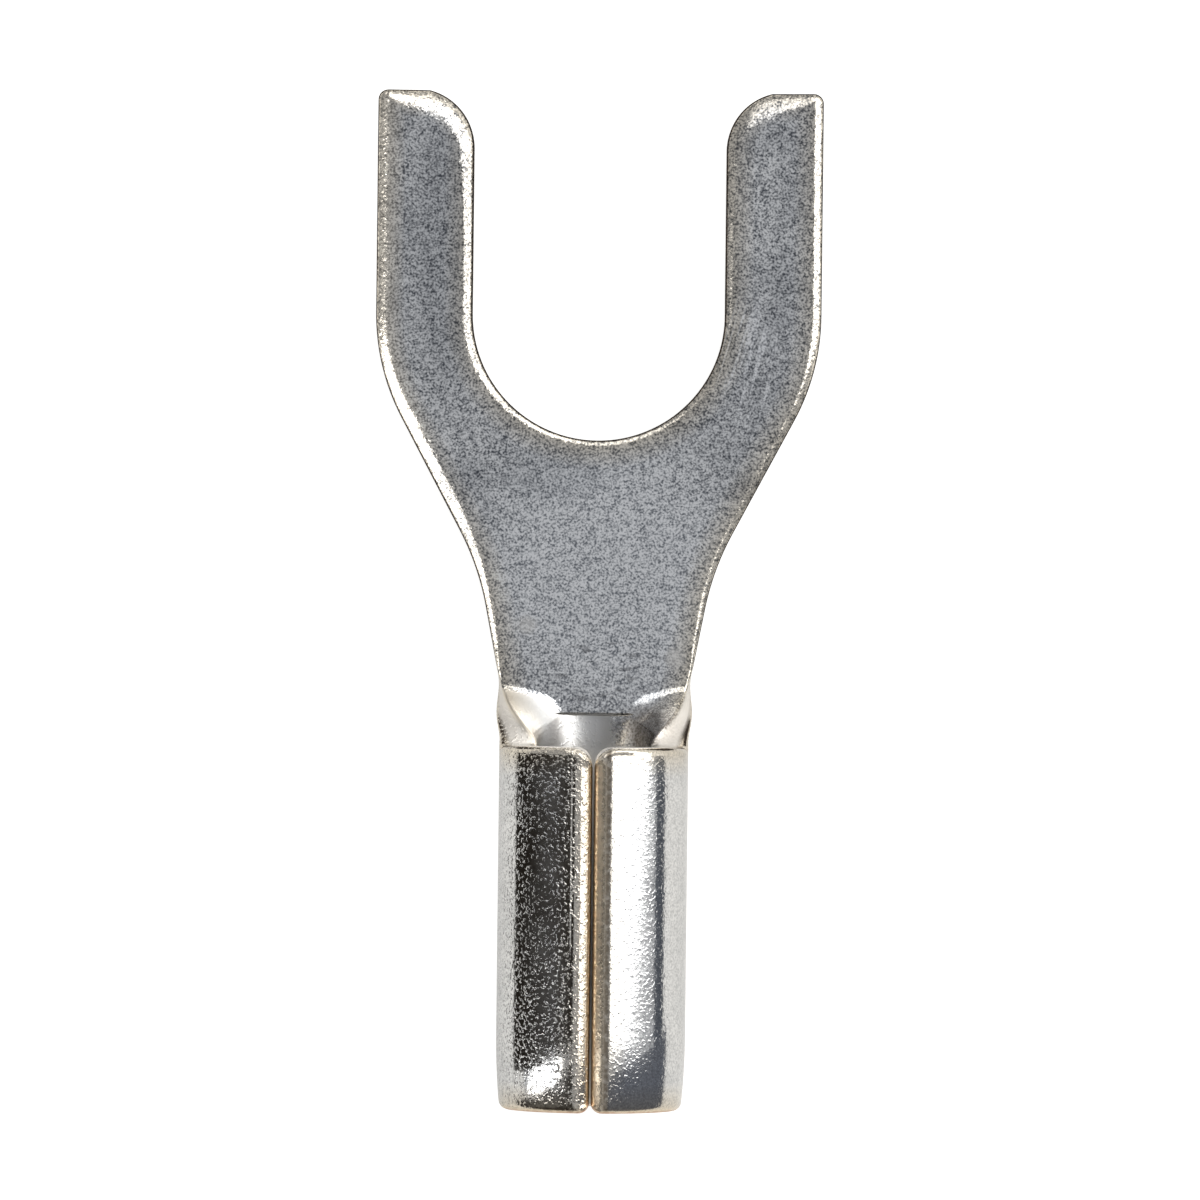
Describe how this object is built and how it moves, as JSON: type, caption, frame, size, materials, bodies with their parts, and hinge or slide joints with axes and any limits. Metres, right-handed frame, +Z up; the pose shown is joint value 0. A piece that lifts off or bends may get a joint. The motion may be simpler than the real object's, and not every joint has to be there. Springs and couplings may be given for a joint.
{
  "type": "fork terminal",
  "caption": "Bare crimp fork terminal: a flat forked tongue that slips under a screw head, necked to a rolled barrel with an open butt seam that is crimped on a wire.",
  "frame": {"origin": "centre of the stud slot's round end, on the tongue's underside", "axes": "+Y along the prongs, away from the barrel; +Z up, from the tongue's underside towards the barrel's seam; +X across the fork"},
  "size_m": [0.009, 0.0205, 0.0038],
  "materials": {
    "tin_plated_copper": "satin tin plating over copper sheet, finely speckled, with bright rolled edges"
  },
  "bodies": {
    "root": {"fork_terminal": "tin_plated_copper"}
  },
  "joints": []
}
